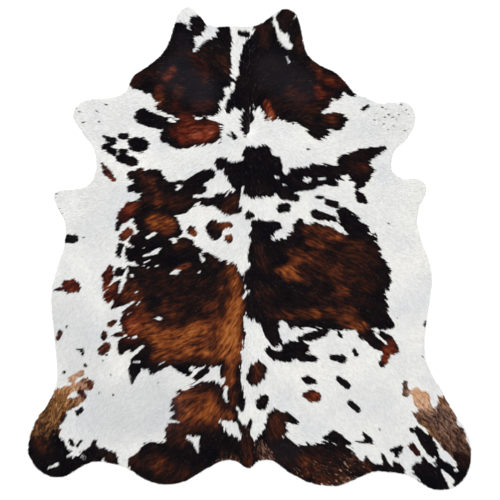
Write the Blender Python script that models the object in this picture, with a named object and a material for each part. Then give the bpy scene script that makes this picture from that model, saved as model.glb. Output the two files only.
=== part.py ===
"""Cowhide rug: one trimmed hide lying flat, hair side up.

The rug is a single solid. Its underside is the flesh side of the skin, flat on
the ground at z = 0, and its top is the lie of the hair. The neck end points to
+Y, the rump to -Y, and the spine runs along x = 0. Metres, +Z up.
"""

import bpy
import bmesh
from mathutils import Vector

SKIN_THICKNESS = 0.0025  # tanned leather
COAT_DEPTH = 0.0035  # short hair lying down on the leather
FLESH_SIDE_INSET = 0.0010  # the knife slants the cut edge in below
COAT_EDGE_INSET = 0.0050  # the hair rounds down to the cut edge
STEPS_PER_SPAN = 3  # straight edges along the outline between two given points

COAT_COLOUR = (0.060, 0.028, 0.016)
COAT_ROUGHNESS = 0.6

# The trimmed edge, from the middle of the neck round the left side to the tail
# and back up the right side. Each row is a place that the knife passes, (x, y).
OUTLINE = {
    "neck, left ear": (
        (0.000, 1.019), (-0.079, 1.019), (-0.150, 1.017), (-0.199, 1.030), (-0.228, 1.071),
        (-0.258, 1.098), (-0.289, 1.108), (-0.320, 1.085), (-0.342, 1.033), (-0.366, 0.955),
    ),
    "left cheek": (
        (-0.403, 0.889), (-0.462, 0.837), (-0.526, 0.796), (-0.546, 0.764), (-0.562, 0.725),
        (-0.600, 0.698),
    ),
    "left foreleg": (
        (-0.654, 0.686), (-0.740, 0.681), (-0.782, 0.662), (-0.803, 0.632), (-0.805, 0.596),
        (-0.764, 0.531), (-0.717, 0.465), (-0.701, 0.400), (-0.709, 0.340), (-0.735, 0.290),
    ),
    "left elbow": (
        (-0.794, 0.273), (-0.853, 0.271), (-0.889, 0.256), (-0.896, 0.230), (-0.875, 0.177),
        (-0.847, 0.125), (-0.842, 0.060),
    ),
    "left flank": (
        (-0.854, -0.010), (-0.879, -0.085), (-0.901, -0.162), (-0.908, -0.250), (-0.899, -0.353),
        (-0.888, -0.470), (-0.880, -0.570), (-0.890, -0.640),
    ),
    "left hind leg": (
        (-0.922, -0.708), (-0.971, -0.774), (-1.002, -0.847), (-1.015, -0.922), (-1.006, -0.962),
        (-0.975, -1.010), (-0.930, -1.041), (-0.890, -1.048), (-0.842, -1.041), (-0.779, -1.002),
        (-0.725, -0.977),
    ),
    "left rump": (
        (-0.660, -0.981), (-0.567, -1.006), (-0.484, -1.057), (-0.400, -1.082), (-0.300, -1.068),
        (-0.219, -1.021), (-0.145, -0.981), (-0.094, -0.971), (-0.055, -0.978),
    ),
    "tail": (
        (-0.020, -1.004), (-0.002, -1.008), (0.012, -0.999),
    ),
    "right rump": (
        (0.039, -0.976), (0.076, -0.970), (0.118, -0.976), (0.179, -1.024), (0.275, -1.074),
        (0.378, -1.090), (0.430, -1.082), (0.504, -1.050), (0.570, -1.024), (0.640, -1.024),
    ),
    "right hind leg": (
        (0.720, -1.036), (0.769, -1.061), (0.835, -1.100), (0.884, -1.108), (0.935, -1.098),
        (0.975, -1.068), (1.004, -1.018), (1.015, -0.950), (1.009, -0.880), (0.979, -0.812),
        (0.924, -0.733), (0.880, -0.645),
    ),
    "right flank": (
        (0.835, -0.580), (0.807, -0.510), (0.801, -0.430), (0.812, -0.320), (0.827, -0.225),
        (0.836, -0.140), (0.822, -0.060), (0.797, 0.005),
    ),
    "right elbow": (
        (0.774, 0.075), (0.766, 0.135), (0.780, 0.200), (0.804, 0.247), (0.806, 0.288),
        (0.778, 0.317), (0.735, 0.322), (0.685, 0.324), (0.655, 0.350), (0.648, 0.395),
    ),
    "right foreleg": (
        (0.665, 0.455), (0.712, 0.498), (0.750, 0.556), (0.759, 0.605), (0.742, 0.651),
        (0.703, 0.671), (0.640, 0.668), (0.575, 0.669),
    ),
    "right cheek": (
        (0.530, 0.694), (0.480, 0.710), (0.440, 0.760), (0.398, 0.802), (0.349, 0.826),
        (0.297, 0.858), (0.260, 0.900), (0.245, 0.955),
    ),
    "right ear": (
        (0.231, 1.020), (0.214, 1.074), (0.190, 1.094), (0.161, 1.099), (0.128, 1.088),
        (0.095, 1.060), (0.050, 1.029),
    ),
}

# The hide's edge from the ground up: how far each level stands in from the
# trimmed edge, and its height.
EDGE_SECTION = (
    (FLESH_SIDE_INSET, 0.0),
    (0.0, SKIN_THICKNESS),
    (COAT_EDGE_INSET, SKIN_THICKNESS + COAT_DEPTH),
)


def smooth_between(before, start, end, after, share):
    """The point at this share of the way from start to end, on a Catmull-Rom curve."""
    turn = 2 * start + (end - before) * share
    bow = (2 * before - 5 * start + 4 * end - after) * share**2
    return (turn + bow + (3 * start - before - 3 * end + after) * share**3) / 2


def trimmed_edge():
    """Even steps along a smooth closed curve through every point of the outline."""
    places = [Vector(place) for row in OUTLINE.values() for place in row]
    count = len(places)
    edge = []
    for i, start in enumerate(places):
        end, after = places[(i + 1) % count], places[(i + 2) % count]
        for step in range(STEPS_PER_SPAN):
            edge.append(smooth_between(places[i - 1], start, end, after, step / STEPS_PER_SPAN))
    return edge


def inward(edge, i):
    """The unit direction into the hide at point i, square to the edge."""
    along = (edge[(i + 1) % len(edge)] - edge[i - 1]).normalized()
    return Vector((-along.y, along.x))


def make_hide(material):
    """One closed body: an edge ring at each level of the section, capped below and above."""
    edge = trimmed_edge()
    count = len(edge)
    bm = bmesh.new()
    rings = []
    for inset, height in EDGE_SECTION:
        flat = [edge[i] + inward(edge, i) * inset for i in range(count)]
        rings.append([bm.verts.new((place.x, place.y, height)) for place in flat])
    for lower, upper in zip(rings, rings[1:]):
        for i in range(count):
            j = (i + 1) % count
            bm.faces.new((lower[i], lower[j], upper[j], upper[i]))
    caps = [bm.faces.new(rings[0][::-1]), bm.faces.new(rings[-1])]
    bm.normal_update()  # a cap is cut into triangles in the plane of its normal
    bmesh.ops.triangulate(bm, faces=caps)

    mesh = bpy.data.meshes.new("hide")
    bm.to_mesh(mesh)
    bm.free()
    mesh.materials.append(material)
    hide = bpy.data.objects.new("hide", mesh)
    bpy.context.collection.objects.link(hide)
    return hide


def coat_material():
    """Short cattle hair, dark brown on the whole, with a soft sheen."""
    material = bpy.data.materials.new("hair_on_hide")
    material.use_nodes = True
    shader = material.node_tree.nodes["Principled BSDF"]
    shader.inputs["Base Color"].default_value = (*COAT_COLOUR, 1)
    shader.inputs["Roughness"].default_value = COAT_ROUGHNESS
    shader.inputs["Metallic"].default_value = 0
    return material


for left_over in list(bpy.data.objects):
    bpy.data.objects.remove(left_over)
make_hide(coat_material())
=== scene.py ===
import math

import bmesh
import bpy
import numpy as np
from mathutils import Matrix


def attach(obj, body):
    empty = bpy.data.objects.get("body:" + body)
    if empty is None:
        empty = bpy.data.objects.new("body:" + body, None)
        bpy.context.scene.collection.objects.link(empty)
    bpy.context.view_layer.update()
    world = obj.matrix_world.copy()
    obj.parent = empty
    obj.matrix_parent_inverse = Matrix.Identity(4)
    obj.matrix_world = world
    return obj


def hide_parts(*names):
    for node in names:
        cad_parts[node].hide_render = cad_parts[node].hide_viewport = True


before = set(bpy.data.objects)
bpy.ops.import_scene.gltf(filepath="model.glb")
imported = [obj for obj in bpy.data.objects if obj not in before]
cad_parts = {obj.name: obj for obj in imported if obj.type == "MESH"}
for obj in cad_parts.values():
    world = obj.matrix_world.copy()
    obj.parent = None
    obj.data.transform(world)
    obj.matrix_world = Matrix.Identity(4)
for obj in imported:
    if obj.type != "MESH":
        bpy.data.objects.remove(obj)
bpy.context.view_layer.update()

mm = 0.001  # places and sizes are in mm from the middle of the hide, until meshes are made in metres

# The dark hair, as a soft union of tapered strokes: x, y and radius at one end, the same at the other, and
# how warm the dark is there, from black at 0 to orange brown at 1.
darkStrokes = {
    "left ear and cheek": (
        (-238, 1040, 38, -242, 1008, 33, 0.05), (-316, 1012, 30, -309, 950, 55, 0.05),
        (-338, 1004, 18, -352, 948, 24, 0.05), (-376, 905, 26, -440, 850, 26, 0.10),
        (-309, 950, 55, -300, 870, 80, 0.08), (-117, 1005, 31, -115, 950, 36, 0.06),
        (-190, 925, 40, -120, 925, 40, 0.12), (-200, 850, 78, -148, 850, 68, 0.22),
        (-300, 870, 80, -200, 850, 80, 0.14), (-420, 840, 40, -330, 850, 60, 0.10),
        (-500, 775, 55, -420, 790, 80, 0.18), (-420, 790, 80, -300, 780, 110, 0.12),
        (-400, 735, 62, -300, 720, 80, 0.12), (-250, 720, 80, -170, 790, 80, 0.10),
        (-405, 648, 24, -330, 650, 45, 0.22), (-330, 650, 45, -200, 655, 50, 0.10),
        (-200, 660, 50, -165, 645, 32, 0.12), (-160, 700, 40, -115, 770, 36, 0.10),
    ),
    "left neck oval": (
        (-310, 525, 64, -185, 540, 58, 0.45), (-375, 515, 38, -330, 505, 42, 0.05),
        (-300, 600, 30, -280, 590, 30, 0.40), (-494, 607, 33, -400, 577, 31, 0.05),
        (-400, 575, 27, -345, 560, 26, 0.05),
    ),
    "crest and right ear": (
        (70, 1000, 50, 60, 920, 95, 0.10), (168, 1050, 52, 188, 960, 62, 0.12),
        (60, 1010, 30, 100, 1058, 9, 0.10), (204, 1050, 16, 230, 985, 17, 0.12),
        (60, 850, 102, 200, 850, 110, 0.08), (60, 750, 102, 230, 760, 120, 0.08),
        (330, 790, 90, 400, 765, 55, 0.22), (120, 690, 70, 250, 670, 75, 0.15),
        (10, 740, 60, 60, 700, 55, 0.03), (-70, 690, 34, -95, 650, 18, 0.03),
        (-30, 880, 22, -20, 700, 60, 0.03), (100, 625, 35, 90, 660, 40, 0.30),
        (160, 640, 48, 250, 620, 52, 0.15), (280, 600, 60, 320, 546, 45, 0.12),
        (350, 590, 55, 397, 588, 46, 0.18), (330, 710, 62, 300, 650, 50, 0.25),
        (402, 698, 20, 404, 720, 24, 0.05), (400, 760, 55, 474, 714, 14, 0.20),
    ),
    "crest whorl": (
        (-46, 988, 13, -8, 982, 17, 0.05),
    ),
    "left shoulder spots": (
        (-676, 518, 4, -632, 494, 21, 0.05), (-591, 517, 13, -568, 517, 14, 0.05),
        (-520, 478, 34, -500, 474, 35, 0.05), (-549, 494, 12, -530, 490, 20, 0.05),
        (-668, 467, 14, -625, 443, 17, 0.06), (-590, 446, 12, -570, 446, 11, 0.06),
        (-590, 415, 24, -535, 398, 23, 0.14), (-678, 390, 5, -655, 352, 16, 0.25),
        (-655, 352, 16, -626, 318, 13, 0.40),
    ),
    "left shoulder band": (
        (-535, 336, 30, -430, 312, 48, 0.22), (-545, 278, 20, -450, 272, 28, 0.10),
        (-375, 285, 22, -320, 298, 18, 0.20), (-290, 290, 25, -220, 325, 28, 0.12),
        (-220, 325, 28, -178, 345, 22, 0.12), (-280, 270, 28, -215, 272, 18, 0.12),
        (-215, 222, 22, -130, 222, 32, 0.15), (-95, 200, 48, -72, 228, 38, 0.20),
        (-62, 240, 26, -42, 285, 8, 0.05), (-62, 182, 28, -80, 190, 30, 0.22),
        (-125, 387, 34, -118, 385, 32, 0.06), (-95, 352, 24, -50, 315, 42, 0.08),
        (-450, 235, 42, -300, 225, 48, 0.25), (-420, 200, 52, -310, 190, 36, 0.30),
        (-300, 205, 32, -252, 225, 14, 0.20),
    ),
    "left elbow": (
        (-580, 148, 33, -545, 182, 31, 0.42), (-545, 186, 27, -500, 205, 20, 0.38),
        (-604, 112, 13, -608, 90, 12, 0.40), (-584, 52, 20, -556, 78, 21, 0.40),
        (-480, 195, 36, -500, 130, 34, 0.18), (-500, 130, 34, -480, 85, 34, 0.10),
        (-460, 140, 60, -400, 112, 70, 0.25), (-400, 112, 70, -365, 80, 52, 0.15),
        (-268, 82, 21, -256, 69, 16, 0.40), (-166, 97, 36, -160, 76, 35, 0.16),
        (-118, 105, 17, -88, 106, 14, 0.40), (-96, 45, 20, -96, 46, 20, 0.25),
        (-305, 32, 20, -275, 26, 18, 0.12), (-842, 44, 20, -806, 42, 20, 0.02),
    ),
    "crest mass": (
        (4, 434, 36, 60, 424, 46, 0.00), (14, 345, 72, 64, 335, 82, 0.00),
        (-62, 345, 38, -24, 296, 44, 0.02), (-75, 376, 20, -40, 372, 30, 0.00),
        (118, 384, 38, 110, 350, 40, 0.03), (20, 292, 62, 60, 287, 56, 0.04),
    ),
    "right shoulder band": (
        (110, 282, 34, 200, 287, 29, 0.08), (200, 287, 29, 280, 292, 26, 0.08),
        (280, 292, 26, 340, 312, 22, 0.08), (370, 302, 17, 398, 298, 14, 0.06),
        (205, 351, 19, 245, 349, 22, 0.12), (150, 318, 24, 230, 325, 22, 0.08),
        (298, 350, 35, 392, 347, 38, 0.12), (442, 390, 40, 500, 386, 56, 0.16),
        (500, 380, 50, 535, 358, 35, 0.18), (490, 415, 34, 560, 436, 24, 0.12),
        (560, 436, 24, 618, 462, 12, 0.12), (520, 330, 38, 508, 302, 26, 0.12),
        (508, 302, 26, 498, 284, 13, 0.06), (470, 345, 35, 420, 350, 35, 0.12),
        (494, 254, 11, 510, 234, 21, 0.08), (510, 234, 21, 534, 211, 9, 0.08),
        (152, 242, 19, 212, 233, 19, 0.12), (146, 185, 23, 168, 186, 23, 0.03),
        (312, 236, 9, 338, 234, 8, 0.15), (358, 215, 13, 398, 200, 18, 0.15),
        (303, 156, 23, 328, 146, 20, 0.30), (352, 146, 15, 384, 131, 19, 0.10),
        (522, 637, 6, 541, 653, 5, 0.45), (578, 68, 5, 582, 62, 4, 0.05),
    ),
    "right elbow band": (
        (428, 160, 26, 458, 122, 42, 0.05), (458, 122, 42, 505, 72, 50, 0.10),
        (505, 72, 46, 538, 15, 46, 0.12), (538, 15, 46, 562, -40, 50, 0.10),
    ),
    "spine spots": (
        (-4, 150, 18, 12, 148, 12, 0.05), (30, 108, 24, 80, 82, 42, 0.06),
        (100, 107, 17, 132, 104, 19, 0.06), (25, 60, 26, 50, 30, 40, 0.15),
        (232, 117, 21, 226, 92, 26, 0.25),
    ),
    "right flank": (
        (268, 50, 66, 390, 32, 60, 0.30), (62, -30, 72, 200, -30, 68, 0.22),
        (200, 0, 78, 500, -20, 92, 0.20), (60, -150, 88, 548, -132, 106, 0.18),
        (60, -262, 86, 555, -265, 82, 0.15), (150, -282, 80, 480, -292, 78, 0.22),
        (556, -322, 55, 632, -344, 34, 0.12), (380, -300, 70, 545, -320, 60, 0.25),
        (530, -385, 32, 600, -438, 27, 0.15), (600, -438, 27, 645, -452, 22, 0.30),
        (608, -394, 15, 645, -424, 17, 0.15), (645, -424, 17, 663, -450, 15, 0.40),
        (640, -460, 27, 668, -466, 20, 0.55), (632, -496, 22, 610, -534, 16, 0.55),
        (82, -345, 26, 102, -388, 32, 0.15), (102, -388, 32, 122, -424, 31, 0.20),
        (88, -468, 15, 112, -494, 21, 0.04), (120, -492, 21, 180, -500, 26, 0.04),
        (190, -468, 42, 235, -465, 38, 0.06), (245, -500, 22, 304, -509, 14, 0.04),
        (232, -416, 13, 290, -405, 20, 0.18), (290, -405, 20, 348, -383, 19, 0.18),
        (412, -395, 9, 424, -402, 9, 0.05), (384, -500, 15, 430, -508, 20, 0.04),
        (480, -467, 9, 490, -487, 12, 0.04), (811, -338, 8, 808, -352, 9, 0.05),
    ),
    "right rump spots": (
        (248, -599, 9, 270, -606, 19, 0.08), (270, -606, 19, 302, -613, 12, 0.08),
        (408, -599, 12, 450, -633, 17, 0.08), (264, -674, 17, 288, -680, 28, 0.42),
        (288, -680, 28, 314, -686, 18, 0.42), (462, -711, 14, 498, -742, 15, 0.06),
        (38, -560, 42, 24, -594, 39, 0.22), (60, -712, 29, 62, -700, 28, 0.10),
        (124, -790, 50, 120, -832, 50, 0.30), (165, -774, 22, 216, -800, 12, 0.06),
        (100, -848, 34, 70, -910, 44, 0.15), (60, -920, 44, 60, -965, 44, 0.32),
        (10, -880, 10, 20, -960, 30, 0.10), (350, -870, 12, 352, -870, 12, 0.05),
        (384, -862, 22, 416, -880, 24, 0.06), (414, -880, 21, 455, -897, 13, 0.10),
        (486, -886, 3, 525, -891, 6, 0.04), (525, -852, 8, 545, -878, 14, 0.04),
        (545, -878, 14, 561, -892, 9, 0.04),
    ),
    "right rump edge": (
        (55, -892, 34, 150, -915, 44, 0.10), (150, -915, 44, 212, -950, 50, 0.10),
        (100, -960, 50, 250, -1010, 60, 0.15), (275, -952, 54, 360, -962, 66, 0.14),
        (360, -962, 66, 440, -962, 50, 0.16), (250, -1020, 60, 430, -1040, 60, 0.28),
        (460, -1010, 46, 560, -1022, 32, 0.15), (560, -1022, 32, 640, -1022, 22, 0.10),
        (640, -1014, 27, 700, -1026, 16, 0.06), (534, -956, 5, 546, -988, 16, 0.06),
        (612, -950, 6, 630, -1002, 16, 0.04), (668, -984, 6, 694, -1014, 13, 0.04),
    ),
    "right hind leg": (
        (658, -928, 10, 692, -922, 17, 0.05), (680, -925, 13, 678, -952, 11, 0.05),
        (745, -908, 13, 772, -940, 15, 0.45), (744, -834, 9, 748, -838, 9, 0.05),
        (768, -836, 18, 812, -885, 30, 0.06), (812, -885, 30, 840, -930, 25, 0.05),
        (840, -930, 25, 860, -952, 10, 0.04), (786, -1018, 34, 830, -1045, 54, 0.02),
        (830, -1045, 54, 870, -1090, 44, 0.02), (800, -965, 9, 806, -992, 18, 0.03),
        (862, -972, 16, 925, -1035, 36, 0.03), (925, -1035, 36, 970, -1055, 52, 0.02),
        (955, -960, 16, 1000, -1000, 52, 0.08),
    ),
    "left flank": (
        (-590, 6, 20, -600, -24, 15, 0.12), (-522, 36, 28, -440, 28, 34, 0.10),
        (-440, 28, 34, -330, 8, 34, 0.10), (-330, 8, 34, -235, -12, 22, 0.18),
        (-545, -30, 34, -300, -60, 68, 0.08), (-300, -60, 68, -190, -92, 58, 0.22),
        (-190, -92, 58, -104, -124, 56, 0.28), (-104, -124, 56, -72, -160, 48, 0.30),
        (-540, -140, 58, -110, -170, 88, 0.15), (-570, -240, 56, -112, -270, 94, 0.20),
        (-535, -350, 58, -105, -380, 86, 0.35), (-470, -450, 50, -350, -460, 74, 0.25),
        (-350, -460, 74, -120, -450, 92, 0.35), (-600, -100, 14, -612, -122, 9, 0.10),
        (-638, -88, 12, -654, -132, 25, 0.30), (-654, -132, 25, -666, -186, 9, 0.25),
        (-600, -170, 30, -652, -222, 20, 0.30), (-652, -222, 20, -650, -243, 13, 0.30),
        (-618, -268, 15, -646, -296, 7, 0.05), (-642, -350, 13, -622, -336, 11, 0.38),
        (-668, -390, 11, -671, -411, 13, 0.10), (-658, -448, 20, -680, -470, 19, 0.32),
        (-628, -401, 6, -590, -395, 14, 0.35), (-584, -440, 21, -592, -474, 15, 0.35),
        (-568, -440, 30, -530, -440, 34, 0.12), (-505, -495, 34, -530, -560, 28, 0.05),
        (-530, -560, 28, -540, -612, 8, 0.04), (-470, -520, 42, -400, -510, 40, 0.18),
        (-446, -570, 12, -424, -548, 18, 0.22), (-312, -528, 44, -287, -578, 14, 0.04),
        (-240, -515, 36, -200, -500, 36, 0.05), (-246, -596, 14, -200, -560, 17, 0.10),
    ),
    "left belly spots": (
        (-834, -174, 30, -806, -175, 30, 0.38), (-868, -186, 10, -896, -191, 5, 0.20),
        (-870, -386, 12, -882, -416, 9, 0.38), (-842, -360, 5, -841, -364, 4, 0.10),
        (-796, -462, 3, -773, -470, 7, 0.08), (-773, -470, 7, -766, -486, 5, 0.08),
        (-851, -568, 7, -857, -571, 5, 0.10), (-755, -538, 9, -754, -540, 8, 0.40),
        (-736, -621, 16, -730, -636, 13, 0.28), (-790, -755, 13, -772, -739, 9, 0.04),
    ),
    "left hind leg": (
        (-775, -660, 14, -760, -678, 12, 0.35), (-862, -790, 10, -852, -762, 12, 0.20),
        (-895, -850, 16, -900, -890, 34, 0.10), (-970, -925, 60, -935, -955, 72, 0.10),
        (-935, -955, 80, -870, -995, 74, 0.02), (-870, -995, 74, -800, -1000, 48, 0.02),
        (-800, -1000, 44, -720, -965, 40, 0.04), (-880, -900, 28, -868, -930, 30, 0.02),
        (-822, -886, 13, -816, -900, 9, 0.03), (-786, -906, 12, -773, -890, 11, 0.03),
        (-714, -890, 8, -722, -930, 30, 0.03), (-672, -938, 22, -628, -956, 18, 0.18),
        (-640, -970, 26, -612, -992, 14, 0.06),
    ),
    "left rump": (
        (-80, -520, 42, -78, -640, 38, 0.38), (-64, -650, 38, -50, -716, 28, 0.08),
        (-50, -716, 28, -30, -746, 7, 0.06), (-114, -556, 24, -126, -592, 9, 0.04),
        (-285, -705, 66, -180, -690, 74, 0.50), (-320, -720, 44, -280, -740, 60, 0.50),
        (-180, -690, 74, -110, -740, 60, 0.45), (-330, -826, 54, -200, -800, 66, 0.38),
        (-200, -800, 66, -110, -760, 50, 0.42), (-330, -880, 62, -200, -900, 62, 0.14),
        (-190, -880, 56, -130, -890, 50, 0.02), (-440, -952, 64, -250, -975, 80, 0.20),
        (-515, -985, 42, -400, -1000, 70, 0.25), (-330, -1030, 60, -230, -990, 70, 0.25),
        (-480, -1010, 60, -340, -1045, 70, 0.25), (-200, -950, 62, -100, -940, 46, 0.06),
        (-80, -900, 38, -40, -960, 40, 0.04), (-28, -820, 9, -18, -890, 24, 0.08),
        (-18, -890, 24, -8, -985, 24, 0.06),
    ),
}

# White hair that cuts back into the dark: the same columns without the warmth.
whiteStrokes = {
    "head": (
        (-175, 1002, 30, -235, 942, 13), (-235, 942, 13, -256, 903, 3), (-300, 1095, 50, -325, 1072, 36),
        (-284, 1042, 8, -286, 1032, 5), (-52, 998, 32, -10, 992, 32), (-56, 952, 24, -67, 880, 19),
        (-67, 880, 19, -66, 815, 13), (-66, 815, 13, -68, 775, 3), (-102, 730, 15, -108, 690, 6),
        (-108, 690, 6, -122, 655, 13), (112, 1070, 5, 130, 1000, 8), (130, 1000, 8, 157, 958, 20),
        (157, 958, 20, 186, 922, 11), (172, 986, 5, 178, 958, 8), (170, 881, 3, 184, 854, 4),
        (212, 1068, 4, 208, 1060, 3), (500, 640, 44, 422, 652, 26), (422, 652, 26, 345, 627, 7),
        (446, 690, 13, 432, 722, 4), (0, 600, 30, -20, 540, 40), (-363, 592, 14, -352, 586, 12),
    ),
    "shoulders": (
        (-330, 288, 6, -318, 284, 8), (-230, 240, 6, -170, 246, 12), (122, 327, 6, 138, 325, 4),
        (256, 311, 6, 276, 317, 11), (320, 318, 3, 345, 322, 5), (156, 293, 3, 168, 293, 3),
        (175, 372, 14, 168, 348, 9), (446, 322, 16, 428, 326, 8), (160, 72, 24, 128, 58, 14),
        (375, 116, 10, 420, 86, 12), (420, 86, 12, 448, 64, 4), (-45, 195, 4, -30, 280, 6),
        (-470, 50, 8, -440, 66, 9), (-345, 38, 12, -362, 44, 6),
    ),
    "flanks": (
        (-482, -34, 6, -430, -15, 10), (-430, -15, 10, -405, -1, 4), (-485, -66, 3, -465, -56, 3),
        (-432, -82, 4, -420, -78, 3), (-360, -118, 4, -342, -110, 9), (-342, -110, 9, -325, -102, 4),
        (-568, 26, 5, -585, -30, 8), (-563, -95, 5, -580, -140, 10), (-580, -140, 10, -597, -200, 8),
        (-540, -128, 7, -545, -124, 6), (-526, -206, 3, -515, -198, 3), (-660, -310, 20, -595, -280, 12),
        (-595, -280, 12, -538, -250, 4), (-520, -258, 3, -505, -246, 3), (-436, -324, 4, -418, -320, 8),
        (-418, -320, 8, -408, -322, 4), (-540, -412, 3, -525, -408, 8), (-570, -512, 18, -520, -470, 8),
        (-520, -470, 8, -492, -447, 5), (-532, -523, 4, -508, -520, 6), (-415, -532, 3, -388, -520, 3),
        (-226, -28, 4, -216, -52, 10), (160, -370, 26, 152, -345, 12), (580, -392, 6, 628, -436, 5),
        (648, -520, 10, 655, -500, 6), (-236, -112, 2, -226, -108, 3),
    ),
    "rump": (
        (-108, -640, 8, -113, -680, 9), (-113, -680, 9, -105, -704, 4), (-56, -734, 7, -42, -762, 6),
        (-135, -794, 8, -95, -814, 20), (-95, -814, 20, -58, -818, 14), (-285, -866, 6, -252, -880, 17),
        (-252, -880, 17, -245, -905, 11), (-245, -905, 11, -237, -940, 4), (-236, -870, 8, -228, -864, 4),
        (28, -800, 34, 24, -850, 20), (24, -850, 20, 18, -886, 5), (-410, -790, 14, -330, -797, 5),
        (-832, -684, 9, -800, -672, 10), (-838, -955, 8, -790, -935, 17), (-790, -935, 17, -752, -900, 18),
        (-926, -1010, 4, -882, -991, 6), (-930, -881, 4, -924, -878, 3), (858, -888, 6, 900, -935, 11),
        (900, -935, 11, 936, -968, 5), (884, -1018, 5, 924, -1072, 13), (924, -1072, 13, 922, -1096, 8),
        (948, -1019, 6, 955, -1019, 5), (852, -965, 6, 838, -985, 5), (492, -918, 22, 506, -962, 9),
        (574, -966, 10, 584, -984, 5), (646, -976, 10, 656, -996, 4),
    ),
}

# Dark hair that lies over the white again.
lateStrokes = {
    "tail": (
        (-54, -790, 7, -26, -850, 16, 0.15), (6, -794, 7, -12, -850, 15, 0.15),
        (-18, -850, 18, -8, -985, 24, 0.10),
    ),
    "specks": (
        (-663, 662, 3, -660, 660, 3, 0.30), (-799, 645, 3, -796, 643, 3, 0.25),
        (-783, 629, 3, -780, 628, 3, 0.25), (-768, 580, 3, -765, 579, 3, 0.25),
        (-694, 583, 3, -691, 582, 3, 0.25), (-703, 631, 3, -700, 629, 3, 0.25),
        (696, 662, 3, 699, 660, 3, 0.20), (627, 641, 3, 630, 640, 3, 0.20),
        (677, 595, 4, 681, 592, 3, 0.20), (662, 564, 3, 666, 561, 3, 0.20),
        (685, 614, 3, 688, 612, 3, 0.20), (711, 541, 3, 714, 540, 3, 0.20),
        (640, 616, 3, 643, 614, 3, 0.20), (702, 630, 3, 705, 628, 3, 0.20),
        (573, 591, 3, 576, 590, 3, 0.25), (610, 649, 3, 612, 648, 2, 0.20),
        (657, 604, 3, 660, 602, 2, 0.20), (597, 592, 3, 599, 590, 2, 0.20),
        (583, 621, 2, 585, 620, 3, 0.20), (720, 638, 3, 722, 636, 2, 0.20),
        (613, 575, 2, 616, 573, 3, 0.20), (636, 546, 3, 639, 544, 2, 0.20),
        (622, 604, 2, 625, 602, 3, 0.20), (733, 618, 3, 735, 615, 3, 0.20),
        (-637, -580, 3, -635, -585, 3, 0.15), (-628, -670, 3, -626, -675, 3, 0.15),
        (-677, -511, 2, -674, -517, 3, 0.15), (-660, -488, 3, -656, -494, 2, 0.15),
        (-694, -666, 2, -690, -670, 3, 0.15), (599, -833, 3, 603, -838, 2, 0.15),
        (-424, -614, 2, -421, -618, 3, 0.15), (680, -322, 3, 683, -326, 2, 0.15),
        (796, -499, 2, 798, -504, 3, 0.15), (639, 116, 3, 643, 112, 3, 0.20),
        (268, 457, 4, 278, 455, 3, 0.20), (-766, 50, 3, -763, 50, 3, 0.20),
        (522, 640, 8, 545, 656, 8, 0.45), (-795, -461, 3, -773, -472, 6, 0.10),
        (-773, -472, 6, -768, -492, 5, 0.10),
    ),
    "whorl": (
        (-16, 650, 8, -10, 606, 27, 0.02), (-10, 606, 27, -19, 552, 21, 0.02),
        (-19, 552, 21, -24, 510, 5, 0.02), (-84, 532, 7, -68, 508, 11, 0.02),
        (-44, 989, 13, -14, 985, 16, 0.05), (-104, 528, 3, -92, 515, 4, 0.02),
    ),
}

# Tan and gold hair on the hind legs, paler than the brown: where, and how golden from 0 to 1.
tanStrokes = {
    "left hind leg": (
        (-818, -602, 15, -776, -572, 14, 0.66), (-750, -618, 20, -735, -628, 20, 0.22),
        (-750, -628, 24, -850, -665, 26, 0.70), (-850, -665, 26, -893, -668, 16, 0.44),
        (-765, -682, 15, -830, -718, 26, 0.44), (-860, -705, 44, -925, -780, 58, 0.42),
        (-925, -780, 58, -950, -850, 66, 0.26), (-950, -850, 66, -960, -900, 60, 0.04),
        (-895, -845, 26, -900, -880, 24, 0.15),
    ),
    "right hind leg": (
        (762, -662, 22, 800, -705, 38, 0.95), (800, -705, 38, 808, -738, 26, 0.85),
        (714, -618, 9, 720, -668, 17, 0.12), (885, -700, 20, 905, -760, 58, 0.36),
        (764, -766, 14, 850, -815, 44, 0.24), (800, -752, 28, 870, -800, 60, 0.34),
        (870, -800, 60, 940, -880, 60, 0.32), (940, -880, 60, 972, -935, 50, 0.12),
    ),
}

# White places in the tan.
tanCuts = {
    "holes": (
        (-832, -684, 8, -806, -672, 13), (-806, -672, 13, -790, -676, 5), (842, -650, 22, 850, -708, 18),
    ),
}

# Redder brown than elsewhere: the same columns, the last one being how much.
redder = {
    "patches": (
        (-310, 520, 100, -180, 540, 100, 0.90), (-480, 770, 110, -260, 830, 130, 0.60),
        (-330, 640, 100, -200, 640, 100, 0.70), (80, 660, 60, 110, 600, 60, 0.80),
        (260, 740, 120, 400, 720, 120, 0.70), (-860, -180, 60, -810, -175, 70, 0.90),
        (-640, 350, 60, -600, 150, 90, 0.70), (-560, 90, 60, -540, 180, 70, 0.70),
        (-660, -100, 60, -640, -240, 80, 0.70), (640, -450, 60, 630, -520, 70, 0.90),
        (480, 390, 90, 560, 440, 80, 0.60), (-540, -330, 90, -600, -450, 100, 0.50),
        (280, -680, 60, 300, -680, 60, 0.60), (745, -905, 50, 768, -934, 50, 0.80),
        (714, -618, 60, 720, -668, 60, 0.90), (800, -730, 90, 900, -790, 100, 0.70),
        (900, -790, 100, 970, -900, 110, 0.60), (-820, -606, 50, -770, -572, 50, 0.80),
        (-760, -640, 60, -770, -690, 50, 0.50),
    ),
}

# Places where white and dark hairs grow mixed: the same columns, the last one being how much.
roan = {
    "legs": (
        (-790, -930, 24, -750, -945, 24, 0.12), (-910, -800, 60, -960, -860, 50, 0.12),
        (900, -800, 70, 940, -880, 50, 0.12), (-880, 280, 20, -860, 180, 24, 0.10),
    ),
}

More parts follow.
